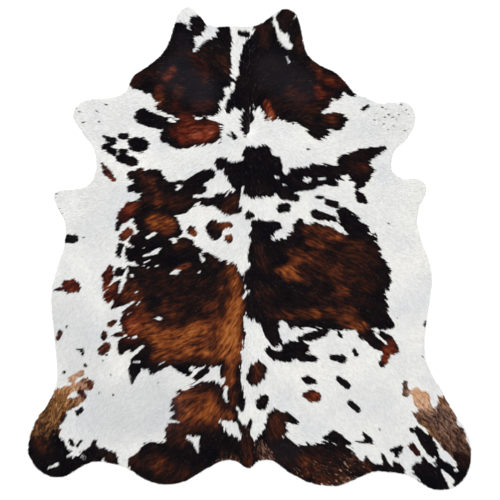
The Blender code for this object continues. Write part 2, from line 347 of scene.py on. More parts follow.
# Where single tan hairs grow in the dark: the same columns, the last one being how much.
flecked = {
    "tail": (
        (30, -800, 40, 50, -780, 30, 0.20), (44, -890, 34, 70, -940, 50, 0.60),
        (-125, -965, 34, -70, -975, 40, 0.50),
    ),
    "right rump": (
        (380, -1080, 40, 450, -1070, 50, 0.34), (430, -1075, 26, 440, -1068, 30, 0.50),
        (230, -1000, 50, 430, -1030, 60, 0.10), (520, -1000, 40, 440, -960, 50, 0.10),
    ),
}

# Where white hair is painted darker, as painted shade, and black hair paler, as a painted sheen: the same
# columns, the last one being how much.
paintedShadeAndSheen = {
    "neck": (
        (-340, 800, 120, -220, 720, 110, 0.45), (110, 820, 120, 230, 740, 120, 0.34),
        (-310, 960, 50, -300, 900, 60, 0.20),
    ),
    "belly and rump": (
        (-640, -760, 200, -440, -720, 200, 0.62), (-760, -560, 160, -840, -300, 160, 0.45),
        (600, -780, 160, 520, -660, 160, 0.16), (130, -940, 80, 200, -940, 70, 0.20),
    ),
    "shoulders": (
        (-640, 600, 160, -760, 560, 120, 0.26), (-680, 250, 160, -720, 100, 160, 0.32),
        (620, 560, 120, 700, 500, 120, 0.10),
    ),
}

# Where brown hair glows through the black: the same columns, the last one being how strongly.
glows = {
    "left flank": (
        (-88, -70, 40, -66, -150, 44, 0.48), (-66, -150, 44, -60, -260, 60, 0.62),
        (-70, -260, 60, -86, -470, 80, 0.88), (-110, -360, 84, -260, -390, 80, 0.58),
        (-260, -390, 80, -400, -420, 75, 0.52), (-420, -400, 80, -560, -380, 70, 0.50),
        (-130, -450, 70, -420, -480, 50, 0.42), (-560, -200, 80, -500, -330, 90, 0.46),
        (-345, -98, 22, -290, -80, 28, 0.55), (-520, -150, 100, -180, -200, 100, 0.20),
        (-400, -280, 60, -320, -290, 60, 0.32), (-180, -280, 60, -180, -270, 60, 0.32),
        (-90, -540, 42, -100, -620, 46, 0.55), (-100, -130, 60, -130, -300, 60, 0.24),
        (-150, -500, 50, -440, -505, 44, 0.36), (-640, -340, 40, -668, -460, 50, 0.36),
        (-75, -680, 40, -60, -730, 30, 0.25), (-640, -110, 50, -640, -220, 60, 0.40),
    ),
    "left shoulder": (
        (-480, 355, 60, -470, 300, 50, 0.24), (-445, 310, 30, -435, 270, 24, 0.30),
        (-440, 120, 60, -380, 104, 62, 0.68), (-460, 112, 70, -370, 100, 60, 0.20),
        (-470, 240, 60, -300, 215, 50, 0.20), (-590, 160, 60, -540, 200, 60, 0.34),
        (-410, 250, 26, -420, 200, 26, 0.24), (-90, 190, 70, -80, 215, 60, 0.34),
        (-150, 100, 40, -100, 100, 40, 0.36), (-90, 46, 34, -88, 46, 34, 0.45),
        (-255, 75, 40, -252, 72, 40, 0.50), (-570, 60, 50, -550, 90, 50, 0.40),
        (-655, 380, 40, -630, 320, 40, 0.34), (-330, 20, 40, -290, 30, 34, 0.20),
    ),
    "left neck": (
        (-310, 498, 34, -190, 530, 38, 0.50), (-340, 535, 56, -180, 555, 56, 0.32),
        (-530, 770, 40, -430, 820, 40, 0.18), (-385, 785, 30, -350, 822, 28, 0.46),
        (-328, 726, 34, -318, 724, 34, 0.46), (-410, 730, 40, -420, 680, 44, 0.32),
        (-240, 880, 70, -220, 800, 70, 0.20), (-135, 860, 46, -112, 830, 46, 0.34),
        (-300, 610, 44, -270, 600, 40, 0.36), (-330, 660, 60, -200, 660, 60, 0.10),
        (-190, 665, 30, -180, 655, 26, 0.18),
    ),
    "right neck": (
        (76, 670, 26, 104, 600, 26, 0.78), (312, 728, 32, 330, 706, 32, 0.50),
        (350, 690, 50, 300, 650, 50, 0.22), (330, 790, 40, 440, 750, 40, 0.28),
        (360, 766, 20, 380, 770, 16, 0.34), (60, 1010, 60, 70, 940, 50, 0.20),
        (190, 1060, 40, 150, 1060, 40, 0.10), (235, 1000, 30, 240, 920, 36, 0.14),
        (280, 850, 30, 320, 820, 30, 0.32), (370, 600, 50, 390, 610, 50, 0.30),
        (260, 600, 44, 280, 570, 40, 0.20), (140, 690, 80, 210, 670, 80, 0.10),
        (100, 800, 140, 220, 740, 140, 0.10),
    ),
    "right flank": (
        (120, -100, 30, 185, -112, 58, 0.66), (185, -115, 54, 270, -150, 36, 0.44),
        (44, 10, 40, 80, -90, 40, 0.22), (200, -60, 36, 270, -40, 40, 0.52),
        (190, -20, 26, 240, 0, 26, 0.34), (280, 80, 60, 370, 70, 50, 0.34),
        (270, 30, 22, 330, 10, 22, 0.34), (380, 60, 24, 440, 30, 20, 0.30),
        (350, 40, 100, 560, -30, 90, 0.24), (330, -100, 110, 560, -150, 90, 0.27),
        (420, -190, 40, 440, -200, 40, 0.28), (60, -200, 60, 60, -280, 50, 0.20),
        (100, -300, 40, 300, -300, 40, 0.34), (300, -290, 40, 470, -300, 50, 0.42),
        (440, -330, 50, 520, -360, 50, 0.46), (250, -220, 40, 500, -230, 50, 0.16),
        (640, -450, 44, 640, -520, 44, 0.34), (500, 400, 90, 520, 370, 70, 0.11),
        (620, 455, 50, 600, 450, 50, 0.20),
    ),
    "rump": (
        (-290, -700, 90, -200, -720, 90, 0.52), (-300, -790, 60, -170, -780, 70, 0.44),
        (-360, -850, 60, -300, -870, 60, 0.34), (-520, -975, 60, -440, -980, 70, 0.26),
        (-400, -1000, 80, -300, -1040, 70, 0.22), (-130, -765, 40, -90, -770, 36, 0.48),
        (125, -800, 70, 125, -840, 70, 0.28), (-110, -960, 50, -70, -965, 40, 0.40),
        (-20, -840, 40, -12, -980, 44, 0.30), (60, -930, 50, 60, -965, 40, 0.30),
        (130, -960, 60, 180, -990, 40, 0.16), (250, -960, 70, 440, -960, 60, 0.18),
        (240, -1020, 60, 420, -1040, 60, 0.20), (330, -920, 40, 350, -980, 50, 0.16),
        (320, -1070, 40, 450, -1070, 40, 0.30), (540, -1005, 50, 480, -980, 50, 0.30),
        (34, -560, 54, 32, -594, 54, 0.34), (280, -680, 50, 310, -686, 50, 0.40),
        (60, -705, 20, 64, -700, 20, 0.10),
    ),
    "feet": (
        (990, -970, 60, 975, -900, 60, 0.30), (-960, -890, 66, -930, -905, 60, 0.34),
        (-840, -178, 60, -810, -175, 60, 0.30), (-875, -400, 40, -872, -405, 40, 0.35),
        (-745, -625, 40, -760, -672, 40, 0.42), (-855, -770, 30, -860, -790, 30, 0.40),
        (-660, -950, 40, -630, -960, 40, 0.22),
    ),
}

# Which way the hair lies, the same on both sides of the spine: mm out, mm up, degrees above outward.
hairLie = (
    (0, 1000, 75), (120, 1000, 55), (0, 820, 70), (120, 820, 40), (300, 800, 5), (450, 740, -12),
    (0, 650, 82), (80, 640, 48), (200, 680, 12), (350, 640, -8), (60, 560, 20), (0, 440, -84),
    (60, 440, -62), (150, 450, -40), (300, 500, -18), (500, 550, 0), (700, 600, 10), (790, 640, 15),
    (0, 300, -84), (100, 300, -52), (200, 300, -28), (350, 300, -20), (600, 300, -14), (850, 260, -8),
    (0, 0, -80), (100, 0, -46), (200, 0, -24), (400, 0, -20), (600, -50, -40), (850, 0, -32),
    (0, -150, -80), (70, -150, -56), (160, -150, -28), (300, -150, -17), (450, -150, -17), (600, -180, -40),
    (0, -300, -80), (100, -300, -44), (200, -300, -22), (400, -300, -16), (600, -320, -44),
    (850, -300, -55), (0, -450, -80), (100, -450, -50), (250, -450, -24), (420, -460, -24),
    (560, -460, -46), (0, -600, -84), (100, -600, -56), (250, -640, -30), (500, -600, -45),
    (700, -600, -50), (850, -600, -64), (0, -900, -88), (100, -850, -66), (250, -850, -38),
    (450, -900, -36), (650, -900, -48), (800, -850, -56), (950, -900, -62), (900, -1050, -55),
)

# How those rows run into each other, and how far the hair wanders between them.
hairTurn = {
    "softness": 30,  # round each row's place
    "fade": 1.6,  # how fast a row loses to nearer ones
    "spine": 12,  # half the parting along the spine
    "waverSize": 110,
    "waver": 0.5,  # radians from one side to the other
}

latticeSize = 256
latticeStart = 500  # cells, so that noise starts well inside the lattice
chance = np.random.default_rng(41)
lattice = chance.random((latticeSize, latticeSize))  # the heights that all noise here runs between


# From 0 to 1 with a soft start and end.
def eased(t):
    return t * t * (3 - 2 * t)


# Smooth noise from 0 to 1, with features about this many mm wide.
def grain(places, cell, shift):
    u = places[:, 0] / cell + shift + latticeStart
    v = places[:, 1] / cell + 2 * shift + latticeStart
    i, j = np.floor(u).astype(int), np.floor(v).astype(int)
    f, g = eased(u - i), eased(v - j)
    near, far = i % latticeSize, (i + 1) % latticeSize
    low, high = j % latticeSize, (j + 1) % latticeSize
    below = lattice[near, low] * (1 - f) + lattice[far, low] * f
    above = lattice[near, high] * (1 - f) + lattice[far, high] * f
    return below * (1 - g) + above * g


# Unit directions turned by these angles.
def turned(along, angle):
    x = along[:, 0] * np.cos(angle) - along[:, 1] * np.sin(angle)
    y = along[:, 0] * np.sin(angle) + along[:, 1] * np.cos(angle)
    return np.stack([x, y], 1)


# The unit direction in which the hair lies at each place.
def lie(places):
    out = np.abs(places[:, 0])
    total = np.zeros((len(places), 2))
    for x, y, angle in hairLie:
        away2 = (out - x) ** 2 + (places[:, 1] - y) ** 2
        near = 1 / (away2 + hairTurn["softness"] ** 2) ** hairTurn["fade"]
        total[:, 0] += near * math.cos(math.radians(angle))
        total[:, 1] += near * math.sin(math.radians(angle))
    total[:, 0] *= np.tanh(places[:, 0] / hairTurn["spine"])
    waver = (grain(places, hairTurn["waverSize"], shift=3) - 0.5) * hairTurn["waver"]
    along = turned(total, waver)
    return along / np.linalg.norm(along, axis=1)[:, None]


# How strokes become hair. A tooth is a streak along the lie of the hair that bites into an edge.
paint = {
    "blend": 4.0,  # neighbouring strokes run together over this
    "tightBlend": 3.0,  # the same for small marks
    "reach": 6,  # blends past its edge, over which a stroke still counts
    "deepest": 60.0,  # no place counts as further inside a stroke than this
    "columnBlend": 16.0,  # over which one stroke's last column turns into the next one's
    "columnDeepest": 40.0,
    "fullRadius": 52,  # a smaller spot has a less ragged edge
    "core": 1.4,  # a soft stroke is at full strength from 1 / 1.4 of the way in to its middle
    "streakSteps": 7,
    "streakContrast": 1.9,
    "overlap": 0.8,  # of dark hair over the edge of the white
    "teeth": ((7.0, 34.0, 11, 20.0), (3.5, 24.0, 57, 12.0)),  # width, length, shift in the noise, bite
    "lobes": (24.0, 71, 9.0),  # rounder bays: width, shift in the noise, bite
    "crown": (-10, 590, 13000, 1.4),  # where the hair parts: x, y, square mm, and how much more ragged
    "whiteTeeth": -1.7,  # bite of the other kinds of edge, against the dark's
    "tanTeeth": 1.2,
    "holeTeeth": -1.0,
    "lateTeeth": 0.6,
}

# How black turns to brown. The plain numbers are shares of the warmth, which runs from 0 to 1.
brindle = {
    "own": 0.40,  # from the dark strokes' last column
    "glow": 0.66,
    "least": 0.05,
    "mottle": 0.14,
    "patches": ((60, 13, 1.0), (26, 19, 0.8)),  # mottling: width, shift in the noise, weight
    "patchMiddle": 0.9,
    "streaks": ((10.0, 36.0, 23), (5.0, 18.0, 91)),  # width, length, shift in the noise
    "inBlack": 0.10,  # strength of the streaks in black hair, and what warmth adds to it
    "inWarm": 1.05,
}


# Noise drawn out along the lie of the hair, from about 0 to 1.
def streaks(places, along, cell, length, shift):
    steps = np.linspace(-0.5, 0.5, paint["streakSteps"]) * length
    total = sum(grain(places + along * step, cell, shift) for step in steps) / len(steps)
    return 0.5 + (total - 0.5) * paint["streakContrast"]


# How deep each place is inside one stroke, in mm, negative outside.
def tapered(places, row):
    x0, y0, r0, x1, y1, r1 = row[:6]
    alongX, alongY = x1 - x0, y1 - y0
    length2 = max(alongX ** 2 + alongY ** 2, 1e-6)  # a round spot may have no length
    share = (((places[:, 0] - x0) * alongX + (places[:, 1] - y0) * alongY) / length2).clip(0, 1)
    away = np.hypot(places[:, 0] - x0 - share * alongX, places[:, 1] - y0 - share * alongY)
    return r0 + (r1 - r0) * share - away


# Every stroke, with the numbers of the places in the box round it and this many mm past it.
def strokesNear(places, groups, past):
    for rows in groups.values():
        for row in rows:
            x0, y0, r0, x1, y1, r1 = row[:6]
            reach = past + max(r0, r1)
            inX = (places[:, 0] > min(x0, x1) - reach) & (places[:, 0] < max(x0, x1) + reach)
            inY = (places[:, 1] > min(y0, y1) - reach) & (places[:, 1] < max(y0, y1) + reach)
            yield row, np.flatnonzero(inX & inY)


# Depth inside the soft union of all strokes in mm, and the mean of the last column round about.
def painted(places, groups, edge, blend=paint["blend"]):
    total = np.full(len(places), 1e-12)  # not quite nothing, for places that no stroke is near
    weight, mean = np.full(len(places), 1e-9), np.zeros(len(places))
    for row, near in strokesNear(places, groups, paint["reach"] * blend):
        depth = tapered(places[near], row)
        ragged = edge[near] * min(1.0, max(row[2], row[5]) / paint["fullRadius"])
        total[near] += np.exp((depth + ragged).clip(None, paint["deepest"]) / blend)
        if len(row) > 6:
            share = np.exp(depth.clip(None, paint["columnDeepest"]) / paint["columnBlend"])
            weight[near] += share
            mean[near] += share * row[6]
    return blend * np.log(total), mean / weight


# How strongly the soft strokes of these groups show at each place, from 0 to 1.
def spread(places, groups):
    left = np.ones(len(places))
    for row, near in strokesNear(places, groups, 0):
        share = (paint["core"] * tapered(places[near], row) / max(row[2], row[5])).clip(0, 1)
        left[near] *= 1 - row[6] * eased(share)
    return 1 - left


# How far every edge is pushed out at each place, mm: long teeth, short ones and bays.
def raggedEdge(places, along):
    bite = sum(far * (streaks(places, along, wide, long, shift) - 0.5)
               for wide, long, shift, far in paint["teeth"])
    wide, shift, far = paint["lobes"]
    bite = bite + far * (grain(places, wide, shift) - 0.5)
    x, y, area, more = paint["crown"]
    feather = 1 + more * np.exp(-((places[:, 0] - x) ** 2 + (places[:, 1] - y) ** 2) / area)
    return paint["overlap"] + feather * bite


# What grows at each place: depth in dark hair and in tan hair in mm, and shares of the rest, with the share
# of painted shade and sheen.
def coat(places):
    along = lie(places)
    edge = raggedEdge(places, along)
    tight = paint["tightBlend"]
    dark, warm = painted(places, darkStrokes, edge)
    white, _ = painted(places, whiteStrokes, paint["whiteTeeth"] * edge, tight)
    gold, shade = painted(places, tanStrokes, paint["tanTeeth"] * edge)
    hole, _ = painted(places, tanCuts, paint["holeTeeth"] * edge, tight)
    late, _ = painted(places, lateStrokes, paint["lateTeeth"] * edge, tight)
    streak = sum(0.5 * streaks(places, along, *row) for row in brindle["streaks"])
    mottle = sum(weight * grain(places, wide, shift) for wide, shift, weight in brindle["patches"])
    warm = warm * brindle["own"] + spread(places, glows) * brindle["glow"] + brindle["least"]
    warm = warm + (mottle - brindle["patchMiddle"]) * brindle["mottle"]
    warm = warm + (streak - 0.5) * (brindle["inBlack"] + brindle["inWarm"] * warm)
    return {"dark": np.maximum(np.minimum(dark, -white), late), "gold": np.minimum(gold, -hole),
            "warm": warm.clip(0, 1), "shade": shade, "streak": streak,
            "red": spread(places, redder), "paintedShadeSheen": spread(places, paintedShadeAndSheen)}


# An sRGB hex colour as linear light.
def hexColour(code):
    parts = [int(code[i:i + 2], 16) / 255 for i in (1, 3, 5)]
    return tuple(c / 12.92 if c <= 0.04045 else ((c + 0.055) / 1.055) ** 2.4 for c in parts) + (1.0,)


# Puts a value, or a link from another node, on each of these sockets.
def plug(node, sockets):
    for name, value in sockets.items():
        if isinstance(value, bpy.types.NodeSocket):
            node.id_data.links.new(value, node.inputs[name])
        else:
            node.inputs[name].default_value = value


# Adds a node with its settings, what is on its sockets and a ramp's stops, and gives one of its outputs.
def addNode(nodes, kind, sockets, out=0, stops=(), **settings):
    node = nodes.new("ShaderNode" + kind)
    for name, value in settings.items():
        setattr(node, name, value)
    plug(node, sockets)
    if stops:
        elements = node.color_ramp.elements
        while len(elements) < len(stops):
            elements.new(0.5)
        for element, (place, code) in zip(elements, stops):
            element.position, element.color = place, hexColour(code)
    return node.outputs[out]


# A new material with its nodes and its shader.
def newMaterial(name):
    material = bpy.data.materials.new(name)
    material.use_nodes = True
    nodes = material.node_tree.nodes
    return material, nodes, nodes["Principled BSDF"]


# The hair's colours. Each stop of a ramp is a place, from 0 to 1, and a colour.
coatColours = {
    "cloudSize": 222,  # soft clouds in the white
    "white": ((0.30, "#DDDEE0"), (0.50, "#E8E8E6"), (0.70, "#EFEEEA")),
    # the painted shade that white hair turns towards
    "paintedShadeWhite": "#CFD1D3",
    "fleckSize": 10.5,  # single dark hairs in the white, far wider than real ones, which wouldn't show
    "fleckFrom": (0.70, 0.78),  # of the noise, from none to full
    "fleckShare": 0.35,
    "fleck": "#8E8A88",
    "brown": ((0.0, "#09080D"), (0.2, "#181112"), (0.38, "#371C14"), (0.55, "#63301A"),
              (0.75, "#8E4B22"), (1.0, "#B06C36")),
    "redBrown": ((0.0, "#09080D"), (0.2, "#1C1011"), (0.38, "#421811"), (0.55, "#662618"),
                 (0.75, "#873E2B"), (1.0, "#A55E44")),
    # the painted sheen that dark hair turns towards
    "paintedSheenBlack": "#45434C",
    "paintedSheenShare": 0.35,  # of the painted shade and sheen that reaches dark hair, as painted sheen
    "tan": ((0.0, "#241812"), (0.3, "#5C3C28"), (0.6, "#986738"), (0.9, "#D0A078")),
    "pinkTan": ((0.0, "#241816"), (0.3, "#604640"), (0.6, "#9A7764"), (0.9, "#DDB598")),
    "tanStreak": 0.65,  # how far streaks and single locks move the shade of tan
    "tanLock": 0.5,
    "edge": 0.8,  # mm on each side of a patch's edge, over which its colour turns
    "darkest": 0.80,  # the darkest lock's brightness, and what the lightest one adds
    "lockSpread": 0.22,
}


# The colour of the hair at each place, from what the coat says of it, with painted shade and sheen where the
# table gives them.
def coatColour(nodes):
    look = coatColours
    names = ("dark", "gold", "warm", "shade", "streak", "red", "paintedShadeSheen", "chance")
    told = {name: addNode(nodes, "Attribute", {}, "Fac", attribute_name=name) for name in names}
    at = addNode(nodes, "TexCoord", {}, "Object")
    cloud = addNode(nodes, "TexNoise", {"Vector": at, "Scale": 1 / (look["cloudSize"] * mm), "Detail": 3.0})
    fleck = addNode(nodes, "TexNoise", {"Vector": at, "Scale": 1 / (look["fleckSize"] * mm), "Detail": 1.0})
    low, high = look["fleckFrom"]
    fleck = addNode(nodes, "MapRange", {0: fleck, 1: low, 2: high, 4: look["fleckShare"]},
                    interpolation_type="SMOOTHSTEP")
    paintedSheenOnDark = addNode(nodes, "Math", {0: told["paintedShadeSheen"], 1: look["paintedSheenShare"]}, operation="MULTIPLY")
    shade = addNode(nodes, "Math", {0: told["streak"], 1: look["tanStreak"], 2: told["shade"]},
                    operation="MULTIPLY_ADD")
    shade = addNode(nodes, "Math", {0: told["chance"], 1: look["tanLock"], 2: shade},
                    operation="MULTIPLY_ADD")
    shade = addNode(nodes, "Math", {0: shade, 1: (look["tanStreak"] + look["tanLock"]) / 2},
                    operation="SUBTRACT")
    ramps = {name: addNode(nodes, "ValToRGB", {0: factor}, stops=look[name])
             for name, factor in (("white", cloud), ("brown", told["warm"]), ("redBrown", told["warm"]),
                                  ("tan", shade), ("pinkTan", shade))}
    inGold, inDark = (addNode(nodes, "MapRange", {0: told[name], 1: -look["edge"], 2: look["edge"]},
                              interpolation_type="SMOOTHSTEP") for name in ("gold", "dark"))
    mix = {"data_type": "RGBA", "out": 2}
    white = addNode(nodes, "Mix", {0: fleck, 6: ramps["white"], 7: hexColour(look["fleck"])}, **mix)
    # painted shade on the white hair and painted sheen on the dark, where the table gives them
    white = addNode(nodes, "Mix", {0: told["paintedShadeSheen"], 6: white, 7: hexColour(look["paintedShadeWhite"])}, **mix)
    brown = addNode(nodes, "Mix", {0: told["red"], 6: ramps["brown"], 7: ramps["redBrown"]}, **mix)
    brown = addNode(nodes, "Mix", {0: paintedSheenOnDark, 6: brown, 7: hexColour(look["paintedSheenBlack"])}, **mix)
    gold = addNode(nodes, "Mix", {0: told["red"], 6: ramps["tan"], 7: ramps["pinkTan"]}, **mix)
    colour = addNode(nodes, "Mix", {0: inGold, 6: white, 7: gold}, **mix)
    colour = addNode(nodes, "Mix", {0: inDark, 6: colour, 7: brown}, **mix)
    bright = addNode(nodes, "Math", {0: told["chance"], 1: look["lockSpread"], 2: look["darkest"]},
                     operation="MULTIPLY_ADD")
    return addNode(nodes, "HueSaturation", {"Value": bright, "Color": colour})


# Short cattle hair lying down: soft and nearly without shine from above.
def hairMaterial():
    material, nodes, shader = newMaterial("cattle_hair")
    plug(shader, {"Base Color": coatColour(nodes), "Roughness": 0.6, "Specular IOR Level": 0.02})
    return material


# The leather's own hair side, matt and coloured like its hair but a little darker, as painted shade, which
# shows only between the locks.
def grainMaterial():
    material, nodes, shader = newMaterial("hide_grain")
    plug(shader, {"Base Color": coatColour(nodes), "Roughness": 0.75})
    return material


suede = {
    "cloudSize": 143,
    "cloud": ((0.3, "#B9AD9C"), (0.55, "#CFC5B6"), (0.75, "#DAD2C5")),
    "napSize": 3.85,  # coarser than the real nap, which wouldn't show
    "nap": ((0.3, "#A89B89"), (0.7, "#E2DBCF")),
    "napShare": 0.35,
    "napDepth": 0.5,
}


# The flesh side, split and buffed to a pale matt suede, a little cloudy.
def suedeMaterial():
    material, nodes, shader = newMaterial("suede_back")
    at = addNode(nodes, "TexCoord", {}, "Object")
    cloud = addNode(nodes, "TexNoise", {"Vector": at, "Scale": 1 / (suede["cloudSize"] * mm), "Detail": 6.0})
    nap = addNode(nodes, "TexNoise", {"Vector": at, "Scale": 1 / (suede["napSize"] * mm), "Detail": 4.0})
    cloudColour = addNode(nodes, "ValToRGB", {0: cloud}, stops=suede["cloud"])
    napColour = addNode(nodes, "ValToRGB", {0: nap}, stops=suede["nap"])
    colour = addNode(nodes, "Mix", {0: suede["napShare"], 6: cloudColour, 7: napColour}, 2, data_type="RGBA")
    bump = addNode(nodes, "Bump", {"Strength": 0.4, "Distance": suede["napDepth"] * mm, "Height": nap})
    plug(shader, {"Base Color": colour, "Normal": bump, "Roughness": 0.95})
    return material


# The hide's outline on the ground, anticlockwise, from the frame's solid.
def cutEdge():
    merge, ground, facesDown = 0.01 * mm, 0.1 * mm, -0.9
    bm = bmesh.new()
    bm.from_mesh(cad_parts["hide"].data)
    bmesh.ops.remove_doubles(bm, verts=bm.verts, dist=merge)
    lowest = {f for f in bm.faces if f.normal.z < facesDown and f.calc_center_median().z < ground}
    border = {e for f in lowest for e in f.edges if sum(g in lowest for g in e.link_faces) == 1}
    start = min(border, key=lambda e: (e.verts[0].co.y, e.verts[1].co.y))
    loop = [start.verts[0], start.verts[1]]
    border.discard(start)
    while loop[-1] != loop[0]:
        step = next(e for e in loop[-1].link_edges if e in border)
        border.discard(step)
        loop.append(step.other_vert(loop[-1]))
    places = np.array([v.co[:2] for v in loop[:-1]]) / mm
    bm.free()
    after = np.roll(places, -1, axis=0)
    turn = np.sum(places[:, 0] * after[:, 1] - places[:, 1] * after[:, 0])
    return places if turn > 0 else places[::-1]


# Which places are within the outline.
def inside(places, edge):
    found = np.zeros(len(places), bool)
    for (ax, ay), (bx, by) in zip(edge, np.roll(edge, -1, axis=0)):
        if ay != by:
            crosses = (places[:, 1] > min(ay, by)) & (places[:, 1] <= max(ay, by))
            x = ax + (places[crosses, 1] - ay) * (bx - ax) / (by - ay)
            found[crosses] ^= places[crosses, 0] < x
    return found


# The coat at each point of a mesh, for its material to read.
def setValues(mesh, values):
    for name, value in values.items():
        mesh.attributes.new(name, "FLOAT", "POINT").data.foreach_set("value", value.astype(np.float32))


# A new object, attached to the root body.
def newPiece(name, mesh):
    obj = bpy.data.objects.new(name, mesh)
    bpy.context.collection.objects.link(obj)
    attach(obj, "root")
    return obj


skin = {
    "cell": 12.0,  # grid that the sheet is cut into
    "firstCut": 0.6,  # of a cell in from the left and from below
    "thickness": 2.4,
    "inset": 1.5,  # the leather stands in from the lie of the hair
    "rippleSize": 260,
    "rippleFrom": 0.45,  # share of the noise that lies flat on the ground
    "ripple": 2.88,  # full height of the noise, of which a little over half stands up
    "shade": 0.4,  # painted shade between the locks: a brightness a little under the mean lock's, on the scale from a dark lock's to a light one's
    "flat": (2.030, 2.216),  # metres
    "area": 3.198,  # square metres inside the outline
}


# How far the dry skin lifts off the ground, mm.
def ripple(places):
    return (grain(places, skin["rippleSize"], shift=5) - skin["rippleFrom"]).clip(0) * skin["ripple"]


# The outline drawn in by this many mm.
def drawnIn(edge, by):
    along = np.roll(edge, -1, axis=0) - np.roll(edge, 1, axis=0)
    outward = np.stack([along[:, 1], -along[:, 0]], 1) / np.linalg.norm(along, axis=1)[:, None]
    return edge - outward * by


# A flat sheet cut into small cells, rippled, and then given its thickness and its two sides.
def makeSkin(edge):
    drawn = drawnIn(edge, skin["inset"])
    bm = bmesh.new()
    bm.faces.new([bm.verts.new((x * mm, y * mm, 0)) for x, y in drawn])
    bm.normal_update()
    for axis, way in enumerate(((1, 0, 0), (0, 1, 0))):
        low, high = drawn[:, axis].min(), drawn[:, axis].max()
        for place in np.arange(low + skin["cell"] * skin["firstCut"], high, skin["cell"]):
            bmesh.ops.bisect_plane(bm, geom=bm.verts[:] + bm.edges[:] + bm.faces[:], dist=0.001 * mm,
                                   plane_co=[part * place * mm for part in way], plane_no=way)
    flat = np.array([vert.co[:2] for vert in bm.verts]) / mm
    for vert, lift in zip(bm.verts, ripple(flat)):
        vert.co.z = lift * mm
    mesh = bpy.data.meshes.new("skin")
    bm.to_mesh(mesh)
    bm.free()
    found = coat(flat)
    # painted shade between the locks: the skin's brightness is set a little under the mean lock's
    found["chance"] = np.full(len(flat), skin["shade"])
    setValues(mesh, found)
    mesh.materials.append(grainMaterial())
    mesh.materials.append(suedeMaterial())
    obj = newPiece("skin", mesh)
    bpy.ops.object.select_all(action="DESELECT")
    bpy.context.view_layer.objects.active = obj
    obj.select_set(True)
    solid = obj.modifiers.new("thickness", "SOLIDIFY")
    solid.thickness, solid.offset = skin["thickness"] * mm, 1
    solid.material_offset, solid.material_offset_rim = 1, 1
    bpy.ops.object.modifier_apply(modifier=solid.name)
    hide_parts("hide")
    return obj


hair = {
    "spacing": 3.85,  # between locks; each stands for some fifty hairs, because single ones are too fine
    "jitter": 0.9,  # of the spacing
    "length": (19.0, 29.0),
    "shortest": 6,  # once trimmed
    "width": (3.8, 5.2),
    "rootHeight": 1.2,
    "rootSpread": 0.5,
    "tipHeight": (4.2, 6.4),
    "ridge": 0.55,  # the middle of a lock over its sides
    "widest": 0.45,  # how far along
    "colourAt": 0.72,  # how far along its colour is read
    "overhang": 5.0,  # past the cut edge
    "overhangLeast": 0.2,  # of the overhang
    "trim": 1.25,  # cut off for each mm too far, because most locks cross the edge aslant
    "turn": 9.0,  # degrees that a lock strays from its neighbours
    "tuftSize": 26,
    "tuftTurn": 26,  # degrees that whole tufts stray, from one side to the other
    "roanShare": 0.6,  # of what the roan rows say
    "sure": 3,  # mm in or out of a patch for a hair of the other colour
    "fleckShade": (0.12, 0.30),  # least, and what chance adds
    "fleckRed": 0.8,
    "columns": 4,  # pieces across and along the hide
    "rows": 5,
    "margin": 30,  # of their grid round the hide
}


# Jittered places all over the hide.
def lockRoots(edge):
    step = hair["spacing"]
    low, high = edge.min(0), edge.max(0)
    x, y = np.meshgrid(np.arange(low[0], high[0], step), np.arange(low[1], high[1], step))
    y[:, ::2] += step / 2
    places = np.stack([x.ravel(), y.ravel()], 1)
    places += (chance.random(places.shape) - 0.5) * step * hair["jitter"]
    return places[inside(places, edge)]


# How far each place is from the cut edge, mm, worked out for some of them at once.
def toEdge(places, edge, atOnce=20000):
    after = np.roll(edge, -1, axis=0)
    points = np.concatenate([edge + (after - edge) * share for share in (0, 1 / 3, 2 / 3)])
    least = np.empty(len(places))
    for i in range(0, len(places), atOnce):
        part = places[i:i + atOnce]
        squares = (part ** 2).sum(1)[:, None] + (points ** 2).sum(1)[None] - 2 * part @ points.T
        least[i:i + atOnce] = np.sqrt(squares.min(1).clip(0))
    return least


# Every lock, trimmed at the cut edge: its root, its four corners and the place that it takes its colour from.
def lockShapes(edge):
    roots = lockRoots(edge)
    count = len(roots)
    tuft = (grain(roots, hair["tuftSize"], shift=31) - 0.5) * hair["tuftTurn"]
    along = turned(lie(roots), np.radians(chance.normal(0, hair["turn"], count) + tuft))
    length = chance.uniform(*hair["length"], count)
    tips = roots + along * length[:, None]
    over = np.where(inside(tips, edge), -1, 1) * toEdge(tips, edge)
    allowed = hair["overhang"] * chance.uniform(hair["overhangLeast"], 1.0, count)
    length = (length - (over - allowed).clip(0, None) * hair["trim"]).clip(hair["shortest"], None)
    width = chance.uniform(*hair["width"], count)
    tipHeight = chance.uniform(*hair["tipHeight"], count)
    rootHeight = hair["rootHeight"] + chance.random(count) * hair["rootSpread"]
    side = np.stack([-along[:, 1], along[:, 0]], 1) * (width / 2)[:, None]
    middle = roots + along * (length * hair["widest"])[:, None]
    sideHeight = rootHeight + (tipHeight - rootHeight) * hair["widest"] - hair["ridge"]
    tips = roots + along * length[:, None]
    corners = np.empty((count, 4, 3))
    shape = ((roots, rootHeight), (middle + side, sideHeight), (middle - side, sideHeight), (tips, tipHeight))
    lift = ripple(roots)
    for i, (places, height) in enumerate(shape):
        corners[:, i, :2], corners[:, i, 2] = places, height + lift
    return roots, corners, roots + along * (length * hair["colourAt"])[:, None]


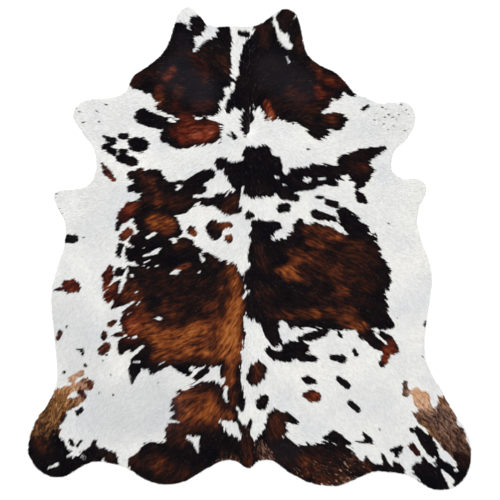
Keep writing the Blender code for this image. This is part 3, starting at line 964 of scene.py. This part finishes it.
# Every lock's corners and what colours it, with hairs of the other colour strewn in.
def makeLocks(edge):
    roots, corners, colouredAt = lockShapes(edge)
    count, sure = len(roots), hair["sure"]
    found = coat(colouredAt)
    flipped = chance.random(count) < spread(roots, roan) * hair["roanShare"]
    found["dark"] = np.where(flipped, -sure * np.sign(found["dark"]), found["dark"])
    found["chance"] = chance.random(count)
    pale = (chance.random(count) < spread(roots, flecked)) & (found["dark"] > 0)
    least, more = hair["fleckShade"]
    flecks = {"dark": -sure, "gold": sure, "shade": least + more * found["chance"], "red": hair["fleckRed"]}
    for name, value in flecks.items():
        found[name] = np.where(pale, value, found[name])
    return corners, found


# A row-by-row order that keeps neighbours close in the colour map.
def spatialOrder(places, rows):
    y = places[:, 1] - places[:, 1].min()
    return np.lexsort((places[:, 0], np.floor(y / (y.max() + 1e-6) * rows)))


# One region's locks as one mesh, each lock closed and with its own patch of the colour map.
def makeHairPiece(name, corners, found, material):
    count = len(corners)
    cells = math.ceil(math.sqrt(count))
    order = spatialOrder(corners[:, 0], cells)
    faces = np.array([(0, 3, 1), (0, 2, 3), (0, 1, 2), (1, 3, 2)])
    corner = (faces[None] + 4 * np.arange(count)[:, None, None]).ravel()
    mesh = bpy.data.meshes.new(name)
    mesh.vertices.add(4 * count)
    mesh.vertices.foreach_set("co", (corners[order] * mm).ravel())
    mesh.loops.add(12 * count)
    mesh.loops.foreach_set("vertex_index", corner)
    mesh.polygons.add(4 * count)
    mesh.polygons.foreach_set("loop_start", np.arange(4 * count) * 3)
    mesh.update(calc_edges=True)
    mesh.shade_flat()
    setValues(mesh, {key: np.repeat(value[order], 4) for key, value in found.items()})
    patch = np.array([(0.5, 0.08), (0.08, 0.5), (0.92, 0.5), (0.5, 0.92)])  # the corners in one cell
    cell = np.stack([np.arange(count) % cells, np.arange(count) // cells], 1)
    spots = (cell[:, None] + patch[None]).reshape(-1, 2) / cells
    mesh.uv_layers.new(name="OFBake").data.foreach_set("uv", spots[corner].ravel())
    mesh.materials.append(material)
    return newPiece(name, mesh)


# All the hair, in a grid of pieces, because a single mesh would have too many faces.
def makeHair(edge):
    corners, found = makeLocks(edge)
    columns, rows = hair["columns"], hair["rows"]
    low, high = edge.min(0) - hair["margin"], edge.max(0) + hair["margin"]
    share = (corners[:, 0, :2] - low) / (high - low)
    column = (share[:, 0] * columns).astype(int).clip(0, columns - 1)
    row = (share[:, 1] * rows).astype(int).clip(0, rows - 1)
    material = hairMaterial()
    made = []
    for i in range(rows):
        for j in range(columns):
            here = np.flatnonzero((row == i) & (column == j))
            part = {key: value[here] for key, value in found.items()}
            made.append(makeHairPiece(f"hair_{i + 1}_{j + 1}", corners[here], part, material))
    return made


stage = {  # places and sizes in metres
    "floorSize": 30,
    "floorHeight": -0.0005,  # just under the hide
    "daylight": 0.95,
    "lamps": {"key": ((-2.2, 2.6, 3.4), 2.4, 85), "fill": ((2.8, -1.6, 3.6), 3.0, 30)},  # place, size, watts
    "camera": (0.0023, -0.0069, 5.43),  # over the middle of the hide, looking straight down
    "lens": 85,  # mm
    "sensor": 36,  # mm
}


# A plain pale floor, matt as paint.
def makeFloor():
    bpy.ops.object.select_all(action="DESELECT")
    bpy.ops.mesh.primitive_plane_add(size=stage["floorSize"], location=(0, 0, stage["floorHeight"]))
    floor = bpy.context.object
    floor.name = "floor"
    material, nodes, shader = newMaterial("pale_floor")
    plug(shader, {"Base Color": hexColour("#FAFAFA"), "Roughness": 0.9, "Specular IOR Level": 0.1})
    floor.data.materials.append(material)


# Soft light from all round and two large lamps, each facing the middle of the hide.
def makeLight():
    world = bpy.data.worlds.new("studio")
    bpy.context.scene.world = world
    world.use_nodes = True
    plug(world.node_tree.nodes["Background"], {"Color": (1, 1, 1, 1), "Strength": stage["daylight"]})
    for name, (place, size, power) in stage["lamps"].items():
        bpy.ops.object.light_add(type="AREA", location=place)
        lamp = bpy.context.object
        lamp.name = name
        lamp.data.energy, lamp.data.size = power, size
        lamp.rotation_mode = "QUATERNION"
        lamp.rotation_quaternion = lamp.location.normalized().to_track_quat("Z", "Y")


# A long lens high over the hide, so that its outline isn't distorted.
def makeCamera():
    bpy.ops.object.camera_add(location=stage["camera"], rotation=(0, 0, 0))
    camera = bpy.context.object
    camera.data.lens, camera.data.sensor_width = stage["lens"], stage["sensor"]
    bpy.context.scene.camera = camera
    bpy.context.scene.view_settings.view_transform = "Standard"  # keeps white hair and the floor white


edge = cutEdge()
print("cut edge:", len(edge), "places")
sheet = makeSkin(edge)
print("skin:", len(sheet.data.polygons), "faces")
locks = makeHair(edge)
print("hair:", sum(len(piece.data.polygons) for piece in locks), "faces in", len(locks), "pieces")
makeFloor()
makeLight()
makeCamera()
print("stage: floor, lamps and camera")
